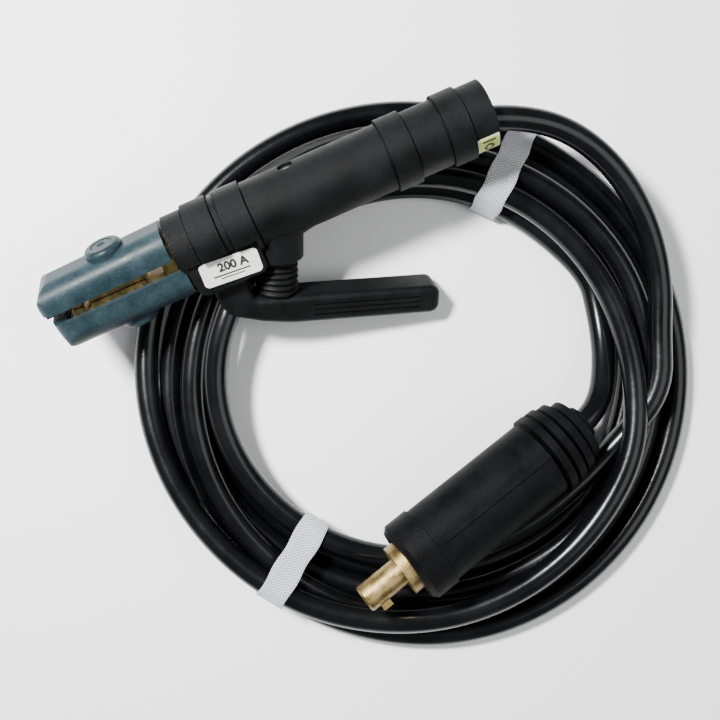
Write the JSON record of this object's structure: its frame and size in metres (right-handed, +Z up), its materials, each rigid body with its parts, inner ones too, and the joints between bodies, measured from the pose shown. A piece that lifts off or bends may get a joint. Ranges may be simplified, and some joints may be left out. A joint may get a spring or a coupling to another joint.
{
  "type": "welding electrode holder",
  "caption": "Tong electrode holder with a sprung lower jaw and squeeze lever, on a coiled welding lead that ends in a bayonet cable plug.",
  "frame": {"origin": "middle of the first electrode groove, between the closed jaws", "axes": "+X along the handle from the nose to the rear, +Z up from the surface it lies on, +Y away from the coil's middle"},
  "size_m": [0.2766, 0.272, 0.0668],
  "materials": {
    "jaw_shell": "satin, mottled",
    "cap": "satin",
    "steel": "zinc plated",
    "brass": "cast, dull",
    "handle_plastic": "fine grained",
    "label": "printed film",
    "sticker": "printed film",
    "spring_steel": "bright wire",
    "bellows_rubber": "matt",
    "cable_rubber": "glossy jacket",
    "copper": "bare copper",
    "plug_rubber": "fine texture",
    "strap": "woven"
  },
  "bodies": {
    "holder": {"upper_shell": "jaw_shell", "upper_screw_cap": "cap", "upper_jaw_screw": "steel", "upper_contact_bar": "brass", "upper_jaw": "brass", "pivot_pin": "steel", "pivot_clip": "steel", "handle_sleeve": "handle_plastic", "handle_screw": "steel", "rating_label": "label", "rear_sticker": "sticker", "spring": "spring_steel", "bellows": "bellows_rubber", "lead_in_handle": "cable_rubber", "holder_conductor": "copper", "holder_ferrule": "copper", "holder_set_screws": "steel", "plug_contact": "brass", "plug_sleeve": "plug_rubber", "lead_in_plug": "cable_rubber", "plug_conductor": "copper", "plug_ferrule": "copper", "plug_set_screws": "steel", "lead_to_holder": "cable_rubber", "lead_to_plug": "cable_rubber", "lead_coil": "cable_rubber", "lower_strap": "strap", "upper_strap": "strap"},
    "lever": {"lower_shell": "jaw_shell", "lower_screw_cap": "cap", "lower_jaw_screw": "steel", "lower_contact_bar": "brass", "lower_jaw": "brass", "lever": "handle_plastic", "lever_rivets": "steel"}
  },
  "joints": [
    {"name": "lever_pivot", "type": "hinge", "parent": "holder", "child": "lever", "pos_m": [0.062, -0.00965, -0.00626], "axis": [0, -0.5446, 0.8387], "range_deg": [0, 13], "stiffness_Nm_per_rad": 4, "springref_deg": -17.19, "deforming": ["spring", "bellows"]}
  ]
}
